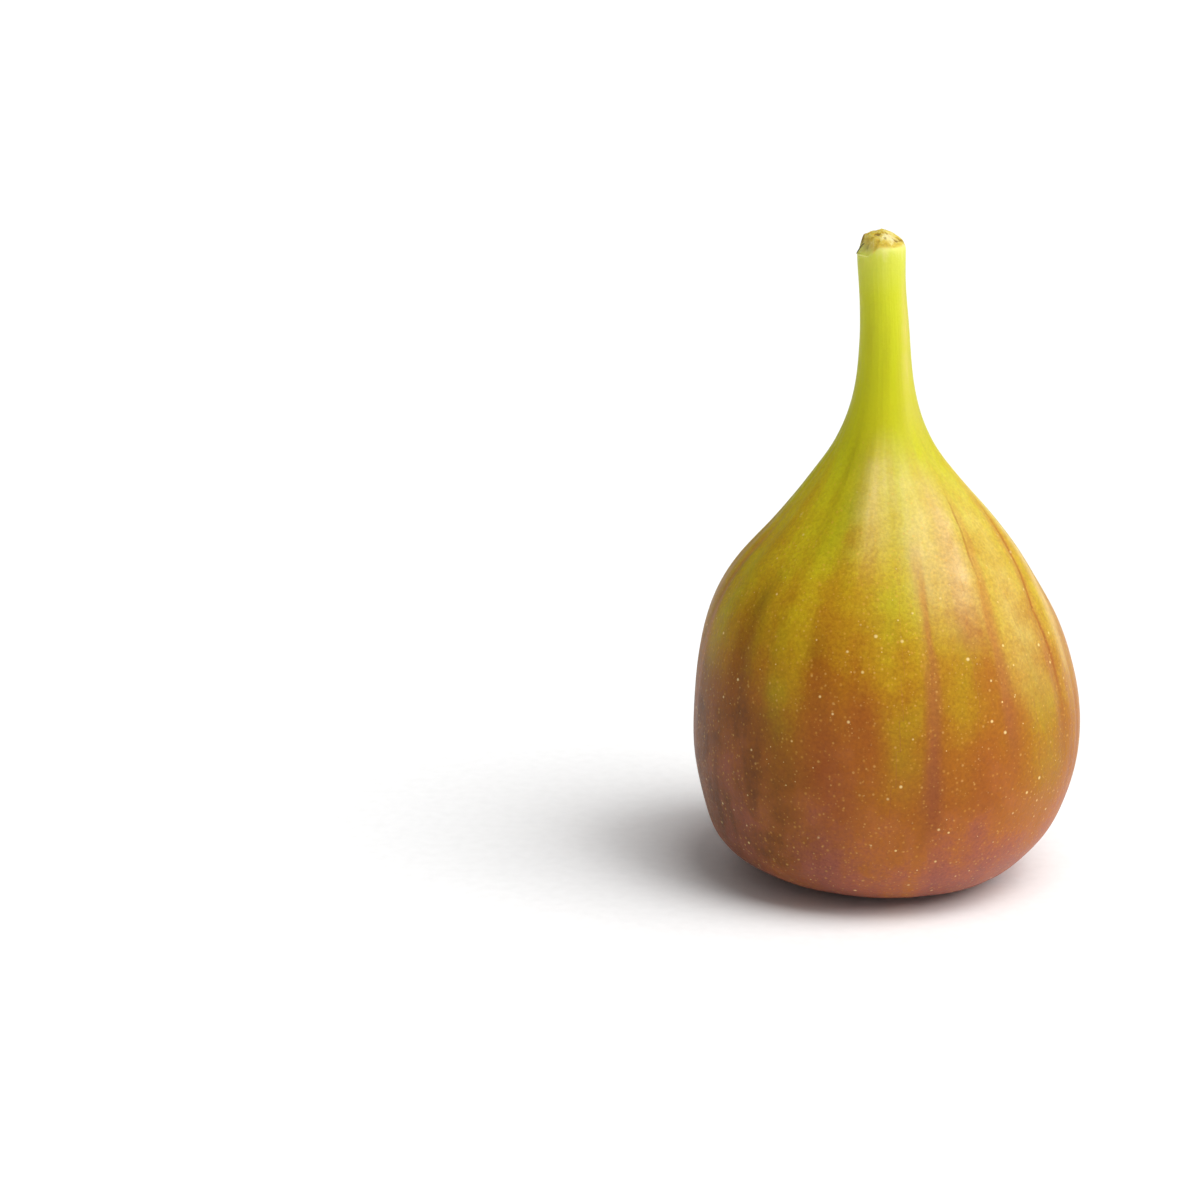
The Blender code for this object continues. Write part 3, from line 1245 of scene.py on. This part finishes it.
    def roughen_cut(
        self,
        mesh: bpy.types.Mesh,
        places: np.ndarray,
        around: np.ndarray,
        radius: np.ndarray,
        height: np.ndarray,
    ) -> np.ndarray:
        """Break up the cut end: a wavering lip, a chipped left corner, a ridge and pits.

        Args:
            mesh: the fruit's mesh, which gets an attribute for the pits.
            places: each point's place, in millimetres.
            around: each point's direction from the middle line.
            radius: each point's distance from the middle line, in millimetres.
            height: each point's height, in millimetres.

        Returns:
            The new places, in millimetres.
        """
        end = self.cut_end
        face = self.near_top(end.face, height)
        rough = perlin(places * end.lump_cells)
        fine = perlin(places * end.crumb_cells + end.crumb_shift)
        hollow = perlin(places * end.pit_cells + end.pit_shift)
        lip = hump(radius - end.lip_radius, end.lip_width) * face
        right = around[:, 0] * radius
        turned = end.chip_turn * around[:, 1] * radius
        chip = smooth_step(*end.chip_reach, -right - turned)
        ridge = hump(right - end.ridge_at, end.ridge_width)
        back = smooth_step(*end.back_reach, around[:, 1] * radius)
        pits = smooth_step(*end.pit_limits, hollow) * face
        pits *= 1.0 - smooth_step(*end.pit_reach, radius)
        places = places.copy()
        places[:, 2] += face * (end.lump * rough + end.crumb * fine) + lip * end.lip_wave * rough
        broken = face * (end.ridge * ridge * (1.0 - pits) - end.pit * pits)
        places[:, 2] += broken + end.slope * places[:, 1] * face
        places[:, 2] += end.back_lift * back * face
        places[:, 2] -= (end.sunk + end.chip * chip) * self.near_top(end.whole, height)
        rim = hump(radius - end.rim_radius, end.rim_width) * face
        rim = rim * smooth_step(*end.rim_start, places[:, 1])
        cut = self.near_top(end.crust, height) * (1.0 - end.bare_chip * chip)
        write_attribute(mesh, self.CUT, cut)
        write_attribute(mesh, self.PITS, np.clip(end.pit_stain * pits + end.rim_stain * rim, 0.0, 1.0))
        return places

    def dress(self, fruit: bpy.types.Object) -> None:
        """Give the fruit its finish."""
        top = Vector((self.middle(self.height) * MM, 0.0, self.height * MM))
        fruit.data.materials.append(FigSkin().build(top))


@dataclass
class EyeScales:
    """The scales that close the eye, in rings that overlap like an iris."""

    centre_x: float  # millimetres
    # Rings from the outside in: (scales, distance of their roots from the middle, length, width,
    # height of their roots), in millimetres
    rings: ClassVar[tuple[tuple[int, float, float, float, float], ...]] = (
        (9, 3.25, 2.0, 2.1, 0.48),
        (8, 2.55, 1.7, 1.8, 0.62),
        (6, 1.75, 1.5, 1.5, 0.76),
    )
    tilt: float = 2.0  # degrees that each scale dips towards the middle
    uneven_tilt: float = 4.0
    uneven_turn: float = 0.08  # radians
    uneven_length: tuple[float, float] = (0.9, 1.08)
    thickness: float = 0.16
    fullness: float = 2.4  # how long the outline stays wide before it closes
    tip_width: float = 0.12  # the outline's shares of the width at the tip, and what the root adds
    root_width: float = 0.9
    thinning: float = 0.6  # the share of the thickness that the tip loses
    cup: float = 0.16  # how far the edges curl up
    droop: float = 0.10  # how far the tip bends down
    middle_height: float = 0.6

    def build(self) -> bpy.types.Object:
        """Model one scale, copy it round the rings and join them.

        Returns:
            The eye's scales as one piece.
        """
        first = self.model_scale()
        draw = random.Random(SEED)
        scales = []
        for ring, (count, root, length, width, height) in enumerate(self.rings):
            for i in range(count):
                scale = first.copy()
                scale.data = first.data.copy()
                bpy.context.collection.objects.link(scale)
                turn = math.tau * (i + 0.5 * (ring % 2)) / count
                turn += draw.uniform(-self.uneven_turn, self.uneven_turn)
                long = length * draw.uniform(*self.uneven_length)
                size = Matrix.Diagonal((long * MM, width * MM, MM, 1.0))
                dipped = self.tilt + draw.uniform(-self.uneven_tilt, self.uneven_tilt)
                dip = Matrix.Rotation(math.radians(dipped), 4, "Y")
                out = Matrix.Translation((-root * MM, 0.0, height * MM))
                spin = Matrix.Rotation(turn, 4, "Z")
                place = Matrix.Translation((self.centre_x * MM, 0.0, 0.0))
                scale.data.transform(place @ spin @ out @ dip @ size)
                scales.append(scale)
        bpy.data.objects.remove(first)
        bpy.ops.object.select_all(action="DESELECT")
        for scale in scales:
            scale.select_set(True)
        bpy.context.view_layer.objects.active = scales[0]
        bpy.ops.object.join()
        eye = bpy.context.active_object
        eye.name = "fig_eye_scales"
        eye.data.name = eye.name
        bpy.ops.object.shade_smooth()
        centre = Vector((self.centre_x * MM, 0.0, self.middle_height * MM))
        eye.data.materials.append(EyeScaleSkin().build(centre, self.rings[0][1] * MM))
        return eye

    def model_scale(self) -> bpy.types.Object:
        """Model one pointed scale of unit length and width, with its root at the origin.

        Returns:
            The scale.
        """
        bpy.ops.object.select_all(action="DESELECT")
        bpy.ops.mesh.primitive_cube_add(size=1.0, location=(0.5, 0.0, 0.0))
        scale = start_piece("fig_eye_scale")
        bpy.ops.mesh.select_all(action="SELECT")
        bpy.ops.transform.resize(value=(1.0, 1.0, self.thickness), center_override=(0.0, 0.0, 0.0))
        bpy.ops.mesh.subdivide(number_cuts=3)
        bpy.ops.object.mode_set(mode="OBJECT")
        for vertex in scale.data.vertices:
            along = vertex.co.x
            closing = math.sqrt(max(1.0 - along**self.fullness, 0.0))
            vertex.co.y *= self.root_width * closing + self.tip_width
            vertex.co.z *= 1.0 - self.thinning * along
            vertex.co.z += self.cup * (vertex.co.y * 2.0) ** 2 - self.droop * along**2
        apply_subdivision(scale, 1)
        return scale


@dataclass
class StemFibre:
    """A thread of skin that tore at the cut and dried black, hooked down over the left corner."""

    top: Vector  # the middle of the cut end, in metres
    # Its line from that middle, its widths along it and its thickness, in millimetres
    bend: ClassVar[tuple[tuple[float, float, float], ...]] = (
        (-2.55, -0.7, -1.70),
        (-2.98, -0.8, -2.05),
        (-3.28, -0.9, -2.50),
        (-3.55, -1.0, -3.00),
    )
    widths: ClassVar[tuple[float, ...]] = (0.34, 0.46, 0.40, 0.10)
    thickness: float = 0.14

    def build(self) -> bpy.types.Object:
        """Draw the thread out from a small square, section by section.

        Returns:
            The thread.
        """
        path = [self.top + Vector(point) * MM for point in self.bend]
        bpy.ops.object.select_all(action="DESELECT")
        bpy.ops.mesh.primitive_plane_add(size=self.widths[0] * MM, location=path[0])
        fibre = start_piece("fig_stem_fibre")
        bpy.ops.mesh.select_all(action="SELECT")
        bpy.ops.transform.resize(value=(self.thickness / self.widths[0], 1.0, 1.0))
        for i, (start, end) in enumerate(zip(path, path[1:])):
            bpy.ops.mesh.extrude_region_move(TRANSFORM_OT_translate={"value": end - start})
            k = self.widths[i + 1] / self.widths[i]
            bpy.ops.transform.resize(value=(1.0, k, 1.0), center_override=end)
        bpy.ops.mesh.select_all(action="SELECT")
        bpy.ops.mesh.normals_make_consistent(inside=False)
        bpy.ops.object.mode_set(mode="OBJECT")
        apply_subdivision(fibre, 2)
        bpy.ops.object.shade_smooth()
        fibre.data.materials.append(DriedFibre().build())
        return fibre


@dataclass
class Studio:
    """The pale floor, the soft lights and the camera."""

    floor_size: float = 8.0  # metres
    floor_drop: float = 0.0001  # metres that it lies below the fruit, so that no two faces share a place
    key_from: tuple[float, float, float] = (0.80, -0.40, 0.95)
    key_strength: float = 1.86  # watts per square metre
    key_spread: float = 45.0  # degrees that the light looks wide
    top_from: tuple[float, float, float] = (0.22, -0.28, 0.93)
    top_strength: float = 1.25
    top_spread: float = 34.0
    # The surround, brighter towards this side
    world_from: tuple[float, float, float] = (0.8, -0.3, 0.5)
    world_low: float = 0.0
    world_high: float = 0.54
    camera_distance: float = 0.420  # metres
    camera_elevation: float = 16.0  # degrees
    camera_side: float = 35.2  # how far the camera stands to the left of the fruit, in millimetres
    camera_rise: float = 33.4  # how far above the base it aims, square to its view, in millimetres
    lens: float = 101.06  # millimetres, as is the sensor
    sensor: float = 36.0

    def build(self) -> bpy.types.Object:
        """Set up the floor, the lights and the camera.

        Returns:
            The floor.
        """
        floor = self.lay_floor()
        self.hang_lights()
        self.place_camera()
        return floor

    def lay_floor(self) -> bpy.types.Object:
        """Lay a wide sheet of paper just under the fruit.

        Returns:
            The sheet.
        """
        bpy.ops.object.select_all(action="DESELECT")
        bpy.ops.mesh.primitive_plane_add(size=self.floor_size, location=(0.0, 0.0, -self.floor_drop))
        floor = start_piece("studio_floor")
        bpy.ops.mesh.select_all(action="SELECT")
        bpy.ops.mesh.subdivide(number_cuts=3)
        bpy.ops.object.mode_set(mode="OBJECT")
        floor.data.materials.append(StudioPaper().build())
        return floor

    def hang_lights(self) -> None:
        """Hang a broad key at the upper right and a softer one overhead, in a white surround."""
        world = bpy.data.worlds.new("studio_world")
        world.use_nodes = True
        tree = world.node_tree
        surround = tree.nodes["Background"]
        outward = add_node(tree, "TexCoord").outputs["Generated"]
        toward = {"operation": "DOT_PRODUCT", 1: Vector(self.world_from).normalized()}
        facing = add_node(tree, "VectorMath", toward, {0: outward}).outputs["Value"]
        limits = {"From Min": -1.0, "To Min": self.world_low, "To Max": self.world_high}
        strength = add_node(tree, "MapRange", limits, {0: facing}).outputs[0]
        tree.links.new(strength, surround.inputs["Strength"])
        surround.inputs["Color"].default_value = (1.0, 1.0, 1.0, 1.0)
        bpy.context.scene.world = world
        self.hang_light("key_light", self.key_from, self.key_strength, self.key_spread)
        self.hang_light("overhead_light", self.top_from, self.top_strength, self.top_spread)

    def hang_light(
        self, name: str, source: tuple[float, float, float], strength: float, spread: float
    ) -> None:
        """Hang one broad, far light.

        Args:
            name: the light's name.
            source: the direction that it comes from.
            strength: its strength, in watts per square metre.
            spread: how wide it looks from the fruit, in degrees.
        """
        data = bpy.data.lights.new(name, "SUN")
        data.energy = strength
        data.angle = math.radians(spread)
        light = bpy.data.objects.new(name, data)
        bpy.context.collection.objects.link(light)
        light.rotation_euler = Vector(source).to_track_quat("Z", "Y").to_euler()

    def place_camera(self) -> None:
        """Place the camera a little above the fruit, level and unturned, looking down at it."""
        data = bpy.data.cameras.new("camera")
        data.lens = self.lens
        data.sensor_width = self.sensor
        camera = bpy.data.objects.new("camera", data)
        bpy.context.collection.objects.link(camera)
        tilt = math.radians(self.camera_elevation)
        rise = self.camera_rise * MM
        camera.location = (
            -self.camera_side * MM,
            rise * math.sin(tilt) - self.camera_distance * math.cos(tilt),
            rise * math.cos(tilt) + self.camera_distance * math.sin(tilt),
        )
        camera.rotation_euler = (math.pi / 2 - tilt, 0.0, 0.0)
        bpy.context.scene.camera = camera
        bpy.context.scene.view_settings.view_transform = "Standard"


def report(piece: bpy.types.Object) -> None:
    """Tie a finished piece to the frame and log its size.

    Args:
        piece: the finished piece.
    """
    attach(piece, "root")
    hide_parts("fig")
    size = [round(side / MM, 1) for side in piece.dimensions]
    log.info("%s: %d faces, %s mm", piece.name, len(piece.data.polygons), size)


def main() -> None:
    """Build the fig and its studio."""
    logging.basicConfig(level=logging.INFO)
    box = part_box("fig")
    fruit = Fruit(box)
    report(fruit.build())
    report(EyeScales(float(fruit.middle(0.0))).build())
    top = Vector((fruit.middle(fruit.height) * MM, 0.0, fruit.height * MM))
    report(StemFibre(top).build())
    Studio().build()


if __name__ == "__main__":
    main()
